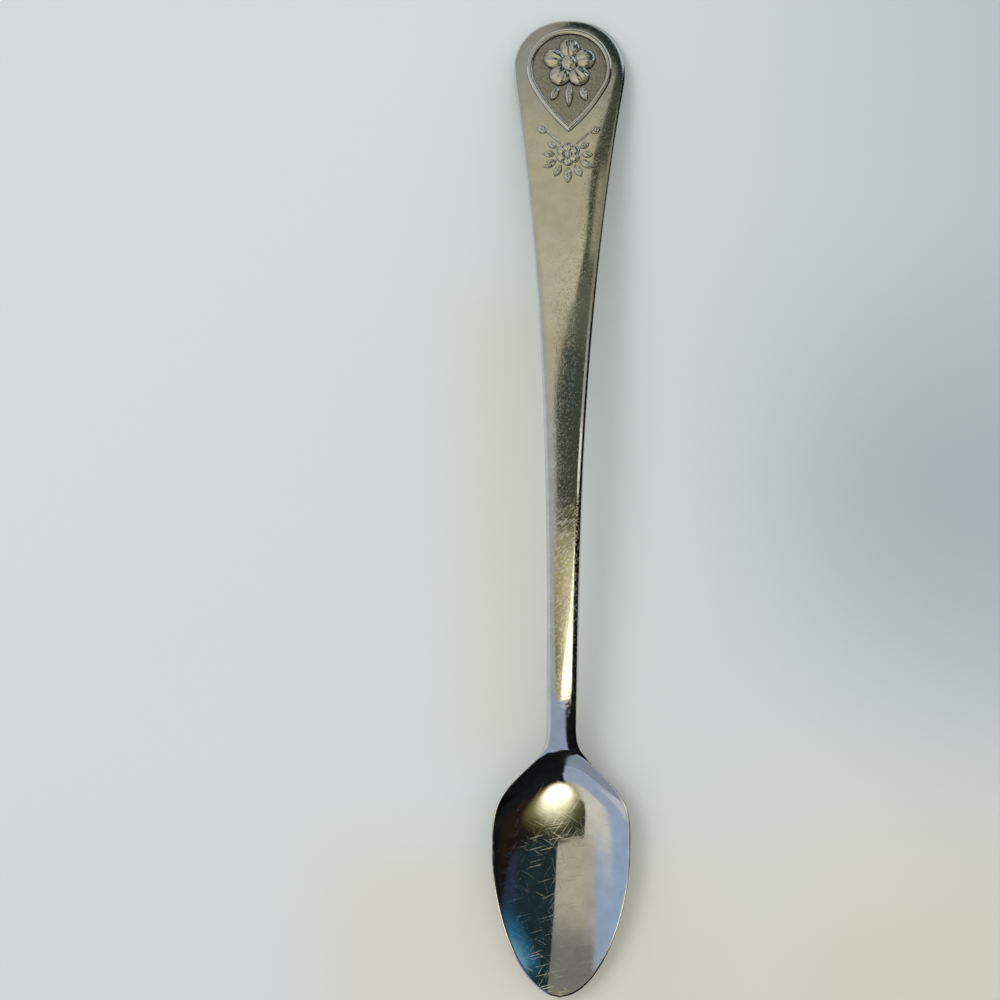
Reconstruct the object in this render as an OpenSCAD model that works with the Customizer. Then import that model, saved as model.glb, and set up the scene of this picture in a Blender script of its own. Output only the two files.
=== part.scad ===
// Long-handled baby feeding spoon, die-struck from one blank of sheet steel.
// The spoon lies on a table: the underside of its bowl and the end of its handle touch Z 0,
// and its handle arches over the table between them. +Y runs from the tip of the bowl to the
// end of the handle. Each formed zone of the blank is its own solid, cut square across the
// spoon, and each raised ornament is a solid that stands on the flat face of the handle's end.

/* [Overall] */
// Length from the tip of the bowl to the end of the handle
overall_l = 140; // [134:0.5:150]

/* [Bowl] */
// Length from the tip of the bowl to the throat, where the neck begins
bowl_l = 40; // [38:0.25:44]
// Width of the bowl over its rim
bowl_w = 19.7; // [18:0.1:24]
// Distance from the tip of the bowl to its widest place
widest_l = 21; // [19:0.25:23]
// Depth of the bowl from its rim to its floor
bowl_depth = 3.4; // [3.2:0.1:4.2]
// Thickness of the metal at the bowl's floor
bowl_t = 1.2; // [0.9:0.05:1.6]
// Thickness of the metal at the bowl's rim
rim_t = 1; // [0.8:0.05:1.2]
// Length of the plain lip between the end of the dish and the throat
throat_lip = 4; // [3.4:0.1:4.6]
// Drop of the rim from the bowl's widest place to its tip
tip_drop = 1.7; // [1:0.1:2.2]
// Depth of the flat that wear has left under the bowl
wear_d = 0.08; // [0.04:0.01:0.2]

/* [Neck and shank] */
// Distance from the tip of the bowl to the end of the neck
neck_end_l = 56; // [50:0.5:62]
// Distance from the tip of the bowl to the end of the shank
shank_end_l = 85; // [80:0.5:95]
// Distance from the tip of the bowl to the crest of the arch
crest_l = 76; // [70:0.5:80]
// Width of the shank at its narrowest
shank_w = 4.4; // [3.8:0.1:5.6]
// Thickness of the shank at its shoulders
shank_t = 2.5; // [2.2:0.1:3.2]
// Rise of the top face from the rim at the bowl's widest place to the throat
throat_rise = 2.6; // [2.3:0.1:2.9]
// Rise of the top face from the rim at the bowl's widest place to the crest
crest_rise = 6.5; // [6:0.1:7.2]
// Rise of the shank's top face from its shoulders to its middle
shank_crown = 0.15; // [0.05:0.05:0.3]
// Rise of the top face from its shoulders to its middle, at the throat
neck_crown = 0.3; // [0.1:0.05:0.4]

/* [Handle] */
// Width of the handle's round end
handle_w = 16; // [15:0.1:18]
// Thickness of the handle
handle_t = 1.6; // [1.4:0.05:2.2]
// Angle of the handle's flat end to the table
end_tilt = 10.8; // [8:0.2:13]
// Length of plain flat between the ornament and the bend of the handle
flat_margin = 0.6; // [0.2:0.1:2]
// Angle of each side of the handle to its middle line, where the round end begins
flare_angle = 9.5; // [6:0.1:10]
// Depth of the wear under the handle's end
end_wear_d = 0.15; // [0.1:0.01:0.25]

/* [Edges] */
// Width and height of the rounding along the bowl's rim
rim_edge = [0.4, 0.35]; // [0.2:0.05:0.45]
// Width and height of the rounded shoulders along the shank's top
shank_edge = [1.2, 1]; // [0.8:0.05:1.3]
// Width and height of the pillowed edge along the handle's top
handle_edge = [3.8, 0.8]; // [0.4:0.05:4]
// Width and height of the rounding along the underside
under_edge = [0.4, 0.35]; // [0.2:0.05:0.5]

/* [Medallion] */
// Radius of the round part of the medallion's rim, over its outside
medallion_r = 6.1; // [5.6:0.1:6.2]
// Distance from the middle of the medallion to its outer point
medallion_reach = 9.8; // [9.2:0.1:10.6]
// Angle below the level of the middle at which each side leaves the round part
medallion_side_angle = 27; // [15:1:32]
// Plain margin between the medallion and the end of the handle
medallion_margin = 1.5; // [1.3:0.1:2]
// Width of the rim's bead
bead_w = 0.85; // [0.6:0.05:1.1]
// Height of the rim's bead
bead_h = 0.32; // [0.2:0.02:0.5]
// Least space between the rim's bead and the flower in the medallion
flower_gap = 0.7; // [0.4:0.05:1]
// Height of the middle of the blossom over the middle of the medallion
blossom_lift = 0.7; // [0:0.1:1]
// Radius of each petal of the blossom
petal_r = 1.55; // [1.3:0.05:1.7]
// Height of each petal
petal_h = 0.55; // [0.3:0.05:0.8]
// Radius of the boss in the middle of the blossom
boss_r = 1.25; // [1:0.05:1.5]
// Height of the boss
boss_h = 0.8; // [0.6:0.05:1]
// Length of the leaf that points down from the blossom
long_leaf_l = 4; // [3:0.1:4.4]
// Length of the leaf on either side of it
side_leaf_l = 2.4; // [2:0.1:2.6]
// Width of those leaves
medallion_leaf_w = 1.2; // [0.9:0.05:1.4]
// Height of those leaves
medallion_leaf_h = 0.4; // [0.3:0.05:0.5]

/* [Spray] */
// Distance from the point of the medallion to the middle of the small blossom
spray_drop = 3.3; // [3.1:0.1:4]
// Radius of each petal of the small blossom
floret_r = 0.72; // [0.5:0.02:0.85]
// Height of each petal of the small blossom
floret_h = 0.35; // [0.2:0.05:0.5]
// Radius of the ring that the small petals stand on
floret_ring_r = 1.05; // [0.9:0.05:1.2]
// Radius of the boss in the middle of the small blossom
floret_boss_r = 0.6; // [0.45:0.05:0.7]
// Height of the boss in the middle of the small blossom
floret_boss_h = 0.45; // [0.35:0.05:0.6]
// Length of the longest leaf of the spray
spray_leaf_l = 2.5; // [2:0.1:3]
// Width of the widest leaf of the spray
spray_leaf_w = 1.2; // [0.9:0.05:1.3]
// Height of the spray's leaves
spray_leaf_h = 0.3; // [0.24:0.02:0.4]
// Width of the two stems
stem_w = 0.36; // [0.25:0.01:0.45]
// Height of the two stems
stem_h = 0.2; // [0.12:0.02:0.3]
// Radius that the two stems bend to
stem_bend_r = 6; // [5:0.25:7]
// Length of each bud
bud_l = 1.7; // [1.3:0.1:1.9]
// Width of each bud
bud_w = 1.1; // [0.8:0.05:1.2]
// Height of each bud
bud_h = 0.38; // [0.3:0.02:0.5]

/* [Hidden] */

// How full the outline is: powers of the curves that it follows
tip_power = 1.75;
bell_powers = [3.9, 5.5];
dish_powers = [9.5, 2.1];
end_power = 2.2;
// Half the width of the small flat that ends the outline at the tip and at the handle's end
nose_half_w = 0.35;

// Slopes of the rim line, as rise over run
tip_slope = 0.04;
widest_slope = 0.03;
throat_slope = 0.24;
end_slope = -tan(end_tilt);

// Share of the bowl's length at which its metal begins to thicken towards the neck
thicken_share = 0.7;
thicken_l = bowl_l * thicken_share;

end_r = handle_w / 2;
end_l = overall_l - end_r;

// The ornaments' places on the tilted face: the spray lies at spray_y from the medallion's middle
clear_gap = 0.1;
spray_y = -medallion_reach - spray_drop;
spray_root_r = floret_ring_r + floret_r + clear_gap;
medallion_l = overall_l - (medallion_margin + medallion_r) * cos(end_tilt);
flat_start_l = medallion_l + (spray_y - spray_root_r - spray_leaf_l - flat_margin) * cos(end_tilt);

// Where each side of the handle runs into the round end: the slope there is flare_angle
flare_slope = tan(flare_angle);
join_share = pow(pow(flare_slope, end_power / (end_power - 1)) + 1, -1 / end_power);
join_half_w = end_r * join_share;
join_l = end_l - end_r * join_share * pow(flare_slope, 1 / (end_power - 1));
flare_power = flare_slope * (join_l - bowl_l) / (join_half_w - shank_w / 2);

// Counts of steps along the spoon and across it
tip_steps = 12;
rear_steps = 15;
neck_steps = 7;
shank_steps = 9;
handle_steps = 15;
end_steps = 11;
columns = 18;
sample_steps = 60;
bead_steps = 6;
side_steps = 10;
round_steps = 42;
round_fn = 48;

// Length by which cuts clear the piece that they cut
overrun = 2;

function mix(a, b, t) = a + (b - a) * t;
function ease(t) = t <= 0 ? 0 : t >= 1 ? 1 : t * t * (3 - 2 * t);
function steps(from, to, count) = [for (i = [0:count]) mix(from, to, i / count)];

// A value that eases from one place to the next along the spoon
function along(s, places, values, i = 0) =
    i >= len(places) - 1 ? values[len(places) - 1]
    : s > places[i + 1] ? along(s, places, values, i + 1)
    : mix(values[i], values[i + 1], ease((s - places[i]) / (places[i + 1] - places[i])));

// A cubic from height a to height b over a run, with a slope at each end
function cubic(a, slope_a, b, slope_b, run, t) =
    a * (2 * t ^ 3 - 3 * t ^ 2 + 1) + b * (3 * t ^ 2 - 2 * t ^ 3)
    + run * (slope_a * (t ^ 3 - 2 * t ^ 2 + t) + slope_b * (t ^ 3 - t ^ 2));

// Side view: places and slopes of the line that the edge of the top face follows, and its height
// there, through which curves run from each place to the next
line_places = [0, widest_l, bowl_l, crest_l, flat_start_l, overall_l];
line_slopes = [tip_slope, widest_slope, throat_slope, 0, end_slope, end_slope];
function curve_h(s, heights, i = 0) =
    i < len(heights) - 2 && s > line_places[i + 1] ? curve_h(s, heights, i + 1)
    : let (run = line_places[i + 1] - line_places[i])
      cubic(heights[i], line_slopes[i], heights[i + 1], line_slopes[i + 1], run,
            (s - line_places[i]) / run);

// Plan view: half the width at a distance s from the tip of the bowl
function front_share(s) = max(0, 1 - pow(max(0, 1 - s / widest_l), tip_power));
function bell_share(t, powers) = pow(max(0, 1 - pow(t, powers[0])), powers[1]);
function outline(s) =
    s < widest_l ? bowl_w / 2 * sqrt(front_share(s))
    : s < bowl_l ? mix(shank_w, bowl_w, bell_share((s - widest_l) / (bowl_l - widest_l), bell_powers)) / 2
    : s < join_l ? mix(shank_w / 2, join_half_w, pow((s - bowl_l) / (join_l - bowl_l), flare_power))
    : end_r * pow(max(0, 1 - pow(abs(s - end_l) / end_r, end_power)), 1 / end_power);
function half_w(s) = max(nose_half_w, outline(s));

// Depth of the bowl's floor under the rim line, on the middle line
dish_end_l = bowl_l - throat_lip;
function dish(s) =
    s < widest_l ? bowl_depth * front_share(s)
    : s < dish_end_l ? bowl_depth * bell_share((s - widest_l) / (dish_end_l - widest_l), dish_powers)
    : 0;

// The rim lies so high at the widest place that the bowl's underside reaches wear_d below the table
rises = [-tip_drop, 0, throat_rise, crest_rise];
lowest = min([for (s = steps(0, widest_l, sample_steps)) curve_h(s, rises) - dish(s) - bowl_t]);
rim_h = -lowest - wear_d;
end_h = handle_t - end_wear_d;
line_heights = concat([for (rise = rises) rim_h + rise],
                      [end_h - end_slope * (overall_l - flat_start_l), end_h]);

// Height over the floor, at x, of the round arc that crosses the bowl
function arc_h(x, half, depth) =
    depth <= 0 ? 0 : let (r = (half ^ 2 + depth ^ 2) / (2 * depth)) x ^ 2 / (r + sqrt(r ^ 2 - x ^ 2));

// Distance from a point of the top face in to the outline
function edge_distance(x, s) =
    s <= end_l ? half_w(s) - abs(x)
    : let (across = pow(abs(x) / end_r, end_power), beyond = pow((s - end_l) / end_r, end_power))
      end_r * (1 - pow(across + beyond, 1 / end_power));
// How far a rounded edge falls at a distance d from the outline
function fall(d, edge) =
    d >= edge[0] ? 0 : edge[1] * (1 - sqrt(max(0, 1 - ((edge[0] - max(0, d)) / edge[0]) ^ 2)));

edge_places = [thicken_l, bowl_l, crest_l, flat_start_l];
function top_edge(s) = along(s, edge_places, [rim_edge, shank_edge, shank_edge, handle_edge]);
function crown(s) = along(s, edge_places, [0, neck_crown, shank_crown, 0]);
function middle_t(s) =
    along(s, edge_places, [bowl_t, shank_t + neck_crown, shank_t + shank_crown, handle_t]);
function edge_t(s) = along(s, edge_places, [rim_t, shank_t, shank_t, handle_t]);

// Height of the top face before its edges are rounded
function face_h(x, s) =
    let (half = half_w(s), across = (x / half) ^ 2)
    curve_h(s, line_heights) - dish(s) + arc_h(x, half, dish(s)) + crown(s) * (1 - across);
function top_h(x, s) = face_h(x, s) - fall(edge_distance(x, s), top_edge(s));
function under_h(x, s) =
    let (across = (x / half_w(s)) ^ 2)
    face_h(x, s) - mix(middle_t(s), edge_t(s), across) + fall(edge_distance(x, s), under_edge);

// One closed section across the spoon: over its top from left to right, and back underneath
function section(s) =
    let (xs = [for (i = [0:columns]) half_w(s) * sin(90 * (2 * i / columns - 1))])
    concat([for (x = xs) [x, s - overall_l / 2, top_h(x, s)]],
           [for (i = [columns:-1:0]) [xs[i], s - overall_l / 2, under_h(xs[i], s)]]);

// A length of the spoon, lofted through its sections and closed at both ends
module loft(stations) {
    ring = 2 * (columns + 1);
    end = (len(stations) - 1) * ring;
    half = columns / 2;
    // Both triangles of each four-sided face, mirrored about the middle line
    skin = [for (k = [0:len(stations) - 2], i = [0:ring - 1])
        let (a = k * ring + i, b = k * ring + (i + 1) % ring, c = a + ring, d = b + ring,
             left = i < half || i >= ring - half - 1)
        each left ? [[a, c, b], [b, c, d]] : [[a, c, d], [a, d, b]]];
    caps = [for (i = [0:columns - 1])
        let (a = i, b = i + 1, c = ring - 2 - i, d = ring - 1 - i)
        each i < half
            ? [[a, b, c], [a, c, d], [end + a, end + c, end + b], [end + a, end + d, end + c]]
            : [[a, b, d], [b, c, d], [end + a, end + d, end + b], [end + b, end + d, end + c]]];
    polyhedron([for (s = stations) each section(s)], concat(skin, caps));
}

// Cuts its children off along the table, which leaves the flats that wear has made
module above_table() {
    intersection() {
        children();
        translate([-bowl_w, -overall_l, 0]) cube([2 * bowl_w, 2 * overall_l, overall_l]);
    }
}

module bowl() {
    front = [for (i = [0:tip_steps - 1]) widest_l * (1 - cos(90 * i / tip_steps))];
    color("silver") above_table() loft(concat(front, steps(widest_l, bowl_l, rear_steps)));
}
module neck() { color("silver") loft(steps(bowl_l, neck_end_l, neck_steps)); }
module shank() { color("silver") loft(steps(neck_end_l, shank_end_l, shank_steps)); }
module handle() {
    flared = steps(shank_end_l, flat_start_l, handle_steps - 1);
    flat = steps(flat_start_l, join_l, handle_steps / 3);
    round_end = [for (i = [1:end_steps]) mix(join_l, overall_l, sin(90 * i / end_steps))];
    color("silver") above_table()
        loft(concat(flared, [for (i = [1:len(flat) - 1]) flat[i]], round_end));
}

// Stands its children on the handle's flat face, at a distance y from the medallion's middle
module on_handle(y, turn = 0) {
    translate([0, medallion_l - overall_l / 2, curve_h(medallion_l, line_heights)])
        rotate([-end_tilt, 0, 0]) translate([0, y, 0]) rotate([0, 0, turn]) children();
}

// A low dome: the top of a ball, cut off flat
module dome(r, h) {
    ball_r = (r ^ 2 + h ^ 2) / (2 * h);
    intersection() {
        translate([0, 0, h - ball_r]) sphere(ball_r, $fn = round_fn);
        cylinder(r = r + overrun, h = h + overrun, $fn = round_fn);
    }
}

// A pointed leaf that lies along +Y from the origin, domed across its midrib
leaf_wall_share = 0.3;
module leaf(l, w, h) {
    side_r = (l ^ 2 + w ^ 2) / (4 * w);
    wall_h = h * leaf_wall_share;
    crown_r = (w ^ 2 / 4 + (h - wall_h) ^ 2) / (2 * (h - wall_h));
    translate([0, l / 2, 0]) intersection() {
        linear_extrude(h + overrun) intersection() {
            translate([w / 2 - side_r, 0]) circle(side_r, $fn = round_fn);
            translate([side_r - w / 2, 0]) circle(side_r, $fn = round_fn);
        }
        translate([0, 0, h - crown_r]) rotate([90, 0, 0])
            cylinder(r = crown_r, h = l + overrun, center = true, $fn = round_fn);
    }
}

// Domed section of a raised line, standing on the X axis
module line_section(w, h) {
    r = (w ^ 2 / 4 + h ^ 2) / (2 * h);
    intersection() {
        translate([0, h - r]) circle(r, $fn = round_fn);
        translate([-w, 0]) square([2 * w, h + overrun]);
    }
}

// Ring of round petals about a boss
module rosette(ring_r, petal_r, petal_h, boss_r, boss_h, count) {
    for (i = [0:count - 1])
        rotate([0, 0, 360 * i / count]) translate([0, ring_r, 0]) dome(petal_r, petal_h);
    dome(boss_r, boss_h);
}

// Height of a domed line over the face that it stands on, at a distance d from its edge
function dome_h(d, w, h) =
    let (r = (w ^ 2 / 4 + h ^ 2) / (2 * h)) sqrt(r ^ 2 - (d - w / 2) ^ 2) - (r - h);

// Outline of the medallion: a round part, and two flat arcs that leave it and meet at the point
side_grow = (medallion_reach ^ 2 - medallion_r ^ 2)
    / (2 * (medallion_r - medallion_reach * sin(medallion_side_angle)));
side_r = medallion_r + side_grow;
side_middle = [-side_grow * cos(medallion_side_angle), side_grow * sin(medallion_side_angle)];
// A point of the right-hand arc, at a distance d inside the outline and a share t of the way down
function side_point(t, d) =
    let (turn = -mix(medallion_side_angle, acos(-side_middle[0] / (side_r - d)), t))
    side_middle + (side_r - d) * [cos(turn), sin(turn)];
function round_point(turn, d) = (medallion_r - d) * [cos(turn), sin(turn)];

// How far the handle's pillowed top has fallen at a point on its end
function face_drop(p) = fall(edge_distance(p[0], medallion_l + p[1] * cos(end_tilt)), handle_edge);

// Raised teardrop rim: a domed bead along the inside of the outline, mitred at the point
module medallion_rim() {
    widths = steps(0, bead_w, bead_steps);
    ring = len(widths);
    heights = [for (d = widths) max(0, dome_h(d, bead_w, bead_h))];
    rows = concat(
        [for (t = steps(1, 0, side_steps)) [for (d = widths) side_point(t, d)]],
        [for (i = [1:round_steps - 1])
            let (turn = mix(-medallion_side_angle, 180 + medallion_side_angle, i / round_steps))
            [for (d = widths) round_point(turn, d)]],
        [for (i = [0:side_steps - 1])
            [for (d = widths) let (p = side_point(i / side_steps, d)) [-p[0], p[1]]]]);
    count = len(rows);
    points = [for (row = rows, j = [0:ring - 1])
        let (p = row[j]) [p[0], p[1], heights[j] - face_drop(p)]];
    faces = [for (k = [0:count - 1], j = [0:ring - 1])
        let (a = k * ring + j, b = k * ring + (j + 1) % ring,
             c = (k + 1) % count * ring + j, d = (k + 1) % count * ring + (j + 1) % ring)
        each [[a, d, b], [a, c, d]]];
    color("gainsboro") on_handle(0) polyhedron(points, faces);
}

// Five round petals about a boss: a plain flower in the middle of the medallion
petal_count = 5;
petal_ring_r = medallion_r - bead_w - flower_gap - blossom_lift - petal_r;
module medallion_blossom() {
    color("gainsboro") on_handle(blossom_lift)
        rosette(petal_ring_r, petal_r, petal_h, boss_r, boss_h, petal_count);
}

// Distance from the middle of the blossom to its edge, in the direction that lies a turn from
// straight down, where two petals meet
function blossom_edge_r(turn) =
    let (aside = petal_ring_r * sin(180 / petal_count - turn))
    petal_ring_r * cos(180 / petal_count - turn) + sqrt(max(0, petal_r ^ 2 - aside ^ 2));

// One long leaf straight down from the blossom, with a shorter one on either side of it
side_leaf_turn = 24;
module medallion_leaves() {
    color("gainsboro") on_handle(blossom_lift) {
        rotate([0, 0, 180]) translate([0, blossom_edge_r(0) + clear_gap, 0])
            leaf(long_leaf_l, medallion_leaf_w, medallion_leaf_h);
        for (turn = [-side_leaf_turn, side_leaf_turn])
            rotate([0, 0, 180 + turn]) translate([0, blossom_edge_r(side_leaf_turn) + clear_gap, 0])
                leaf(side_leaf_l, medallion_leaf_w, medallion_leaf_h);
    }
}

floret_count = 6;
module spray_blossom() {
    color("gainsboro") on_handle(spray_y)
        rosette(floret_ring_r, floret_r, floret_h, floret_boss_r, floret_boss_h, floret_count);
}

// Turn of each leaf of the spray from straight down, and its shares of the longest and the widest
leaf_turns = [0, 30, -30, 60, -60, 90, -90, 120, -120];
leaf_l_shares = [1, 0.8, 0.8, 0.86, 0.86, 0.66, 0.66, 0.62, 0.62];
leaf_w_shares = [1, 0.95, 0.95, 0.95, 0.95, 0.85, 0.85, 0.75, 0.75];
module spray_leaves() {
    color("gainsboro") for (i = [0:len(leaf_turns) - 1])
        on_handle(spray_y, 180 + leaf_turns[i]) translate([0, spray_root_r, 0])
            leaf(spray_leaf_l * leaf_l_shares[i], spray_leaf_w * leaf_w_shares[i], spray_leaf_h);
}

// Turn of each stem from straight up where it leaves the small blossom, and how far it bends
stem_root_turn = 36;
stem_sweep = 24;

// Stands its children at the root of each stem, with +Y along the stem
module at_stem_roots() {
    for (side = [0, 1]) mirror([side, 0, 0]) on_handle(spray_y, -stem_root_turn)
        translate([0, spray_root_r, 0]) children();
}

module spray_stems() {
    color("gainsboro") at_stem_roots()
        translate([stem_bend_r, 0, 0]) rotate([0, 0, 180 - stem_sweep])
            rotate_extrude(angle = stem_sweep, $fn = round_fn)
                translate([stem_bend_r, 0]) line_section(stem_w, stem_h);
}

// One bud at the end of each stem
module spray_buds() {
    color("gainsboro") at_stem_roots()
        translate([stem_bend_r, 0, 0]) rotate([0, 0, -stem_sweep])
            translate([-stem_bend_r, clear_gap, 0]) leaf(bud_l, bud_w, bud_h);
}

bowl();
neck();
shank();
handle();
medallion_rim();
medallion_blossom();
medallion_leaves();
spray_blossom();
spray_leaves();
spray_stems();
spray_buds();
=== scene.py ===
from math import cos, pi, radians, sin, sqrt, tan

import bpy
import numpy as np
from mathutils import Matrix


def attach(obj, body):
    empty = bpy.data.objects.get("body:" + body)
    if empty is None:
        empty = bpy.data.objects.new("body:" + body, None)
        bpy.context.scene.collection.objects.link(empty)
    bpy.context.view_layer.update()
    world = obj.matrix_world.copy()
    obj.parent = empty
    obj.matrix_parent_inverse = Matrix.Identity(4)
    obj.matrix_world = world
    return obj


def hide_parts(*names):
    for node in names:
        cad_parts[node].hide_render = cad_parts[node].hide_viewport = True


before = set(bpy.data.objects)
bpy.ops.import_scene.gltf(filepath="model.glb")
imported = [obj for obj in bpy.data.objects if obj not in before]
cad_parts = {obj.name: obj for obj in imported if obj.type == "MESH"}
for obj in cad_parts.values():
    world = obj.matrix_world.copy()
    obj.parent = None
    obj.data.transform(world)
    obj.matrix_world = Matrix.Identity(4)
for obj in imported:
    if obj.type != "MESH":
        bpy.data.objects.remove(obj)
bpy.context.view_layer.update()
bpy.context.scene.view_settings.view_transform = "Standard"
bpy.ops.object.select_all(action="DESELECT")

# Camera: held level over the table, almost straight above the spoon, and turned so that the handle
# leans a little to the right. The picture is cropped so that the spoon lies to the right of its middle.
MM = 0.001
CAMERA_HEIGHT = 210.0
CAMERA_X, CAMERA_Y = 2.9, 0.98
CAMERA_ROLL = radians(0.61)
CAMERA_FIELD, CAMERA_CROP = radians(37.98), 0.0852

camera_data = bpy.data.cameras.new("camera")
camera_data.sensor_width = 36.0
camera_data.lens = camera_data.sensor_width / (2 * tan(CAMERA_FIELD / 2))
camera_data.shift_x = -CAMERA_CROP
camera_data.clip_start = 0.01
camera = bpy.data.objects.new("camera", camera_data)
camera.location = (CAMERA_X * MM, CAMERA_Y * MM, CAMERA_HEIGHT * MM)
camera.rotation_euler = (0, 0, CAMERA_ROLL)
bpy.context.scene.collection.objects.link(camera)
bpy.context.scene.camera = camera


# Room: what the polish mirrors. Seen from the table there is a beige ceiling on the left that turns to
# lavender daylight low down, a dark side with a blue pane on the right and a warm lamp past the bowl.
def srgb(code):
    """A hex colour as linear red, green, blue and alpha."""
    parts = [int(code[i:i + 2], 16) / 255 for i in (1, 3, 5)]
    return [p / 12.92 if p <= 0.04045 else ((p + 0.055) / 1.055) ** 2.4 for p in parts] + [1]


def add_node(tree, kind, inputs=None, output=0, **settings):
    """Adds a node; its inputs are numbers, hex colours or other nodes' outputs. Gives one output."""
    node = tree.nodes.new("ShaderNode" + kind)
    for name, value in settings.items():
        setattr(node, name, value)
    for key, value in (inputs or {}).items():
        if isinstance(value, bpy.types.NodeSocket):
            tree.links.new(value, node.inputs[key])
        else:
            node.inputs[key].default_value = srgb(value) if isinstance(value, str) else value
    return node.outputs[output] if node.outputs else None


def painted(tree, picture, places, patches):
    """Paints soft-edged patches over a colour: each has a colour, a range of each place and an edge."""
    for colour, *ranges, soft in patches:
        share = 1.0
        for place, (low, high) in zip(places, ranges):
            for start, end in ((low - soft, low + soft), (high + soft, high - soft)):
                step = add_node(tree, "MapRange", {0: place, 1: start, 2: end},
                                interpolation_type="SMOOTHSTEP")
                share = add_node(tree, "Math", {0: share, 1: step}, operation="MULTIPLY")
        picture = add_node(tree, "Mix", {0: share, 6: picture, 7: colour}, 2, data_type="RGBA")
    return picture


def oval(tree, places, middle, radii, soft):
    """Share of a soft-edged oval; soft is the share of its radii that the edge takes."""
    total = 0.0
    for place, centre, radius in zip(places, middle, radii):
        away = add_node(tree, "Math", {0: place, 1: -centre}, operation="ADD")
        away = add_node(tree, "Math", {0: away, 1: radius}, operation="DIVIDE")
        total = add_node(tree, "Math", {0: away, 1: away, 2: total}, operation="MULTIPLY_ADD")
    reach = add_node(tree, "Math", {0: total}, operation="SQRT")
    return add_node(tree, "MapRange", {0: reach, 1: 1 + soft, 2: 1 - soft}, interpolation_type="SMOOTHSTEP")


# Strength of the mirrored room, and a range without ends
MIRRORED = 1.35
ALL = (-999, 999)
world = bpy.data.worlds.new("room")
world.use_nodes = True
bpy.context.scene.world = world
room = world.node_tree
room.nodes.clear()
direction = add_node(room, "SeparateXYZ", {0: add_node(room, "TexCoord")}).node
lifted = add_node(room, "Math", {0: direction.outputs[2], 1: 0.001}, operation="MAXIMUM")
right, far = [add_node(room, "Math", {0: add_node(room, "Math", {0: direction.outputs[axis], 1: lifted},
                                                  operation="ARCTAN2")}, operation="DEGREES")
              for axis in (0, 1)]

# Upright edges lean in the mirrored room; level ones fall to both sides, and the pane stands askew
LEAN, FALL, PANE_SLANT = -0.42, 0.1, 0.5
leaning = add_node(room, "Math", {0: far, 1: LEAN, 2: right}, operation="MULTIPLY_ADD")
falling = add_node(room, "Math", {0: add_node(room, "Math", {0: right}, operation="ABSOLUTE"), 1: FALL,
                                  2: far}, operation="MULTIPLY_ADD")
askew = add_node(room, "Math", {0: right, 1: PANE_SLANT, 2: far}, operation="MULTIPLY_ADD")

# Patches: a colour, the degrees that it spans to the right and away, and how soft its edge is
left_side = painted(room, "#AAA498", (right, far), [
    ("#92A6C4", (-999, -36), (-999, 30), 9), ("#737371", (-36, 90), (-8, 15), 4),
    ("#ACA69A", (-24, 90), (-19, -12), 4), ("#C9C8BF", (-52, -26), (-50, -22), 6),
    ("#8C8B82", (-999, 10), (30, 999), 4), ("#1F2B29", (10, 999), (40, 999), 4),
    ("#1F2B29", (-6, 999), (58, 999), 4)])
right_side = painted(room, "#1A2B30", (right, falling, askew), [
    ("#275E7E", (20, 60), (-999, 2.5), (9.5, 40), 3), ("#66A3BE", (32, 53), (-999, 2.5), (14.5, 30), 3),
    ("#272F45", (45, 78), ALL, (-12, 8), 3), ("#120D0D", ALL, (-999, -17.5), ALL, 1.2),
    ("#211814", (35, 68), (-50, -20), ALL, 6), ("#1F2B29", ALL, (30, 999), ALL, 3),
    ("#0B0C0E", (64, 999), ALL, ALL, 5), ("#B4C6CB", (47, 999), (55, 92), ALL, 2)])
RIGHT_SIDE_FROM, RIGHT_SIDE_TO = 9.5, 10.5
on_right = add_node(room, "MapRange", {0: leaning, 1: RIGHT_SIDE_FROM, 2: RIGHT_SIDE_TO})
picture = add_node(room, "Mix", {0: on_right, 6: left_side, 7: right_side}, 2, data_type="RGBA")

# A dark beam in front of the lamp, the lamp's glow and the lamp: their middles and radii in degrees
GLOW_MIDDLE, GLOW_RADII, GLOW_SHARE = (6, -31), (28, 9.3), 0.75
LAMP_MIDDLE, LAMP_RADII, LAMP_GAIN = (4.5, -30.5), (20, 8), 1.9
OVAL_EDGE = 0.4
picture = painted(room, picture, (leaning, falling), [("#30342A", (-15.6, 24), (-27, -17.5), 0.5)])
glow = add_node(room, "Math", {0: oval(room, (right, far), GLOW_MIDDLE, GLOW_RADII, OVAL_EDGE),
                               1: GLOW_SHARE}, operation="MULTIPLY")
picture = add_node(room, "Mix", {0: glow, 6: picture, 7: "#A69C62"}, 2, data_type="RGBA")
lamp_share = oval(room, (right, far), LAMP_MIDDLE, LAMP_RADII, OVAL_EDGE)
picture = add_node(room, "Mix", {0: lamp_share, 6: picture, 7: "#FFFBE2"}, 2, data_type="RGBA")
brightness = add_node(room, "MapRange", {0: lamp_share, 3: 1.0, 4: LAMP_GAIN})
picture = add_node(room, "VectorMath", {0: picture, 3: brightness}, operation="SCALE")

# The wall beyond the lamp, lavender on the left and black on the right
WALL_FROM, WALL_TO = -42.0, -46.0
wall = painted(room, "#98A6BE", (right,), [("#14171A", (-5, 999), 1.5)])
on_wall = add_node(room, "MapRange", {0: far, 1: WALL_FROM, 2: WALL_TO})
picture = add_node(room, "Mix", {0: on_wall, 6: picture, 7: wall}, 2, data_type="RGBA")
mirrored = add_node(room, "Background", {0: picture, 1: MIRRORED})
plain = add_node(room, "Background", {0: "#F2F4F6", 1: 0.82})
add_node(room, "OutputWorld", {0: add_node(room, "MixShader", {
    0: add_node(room, "LightPath", output="Is Glossy Ray"), 1: plain, 2: mirrored})})

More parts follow.
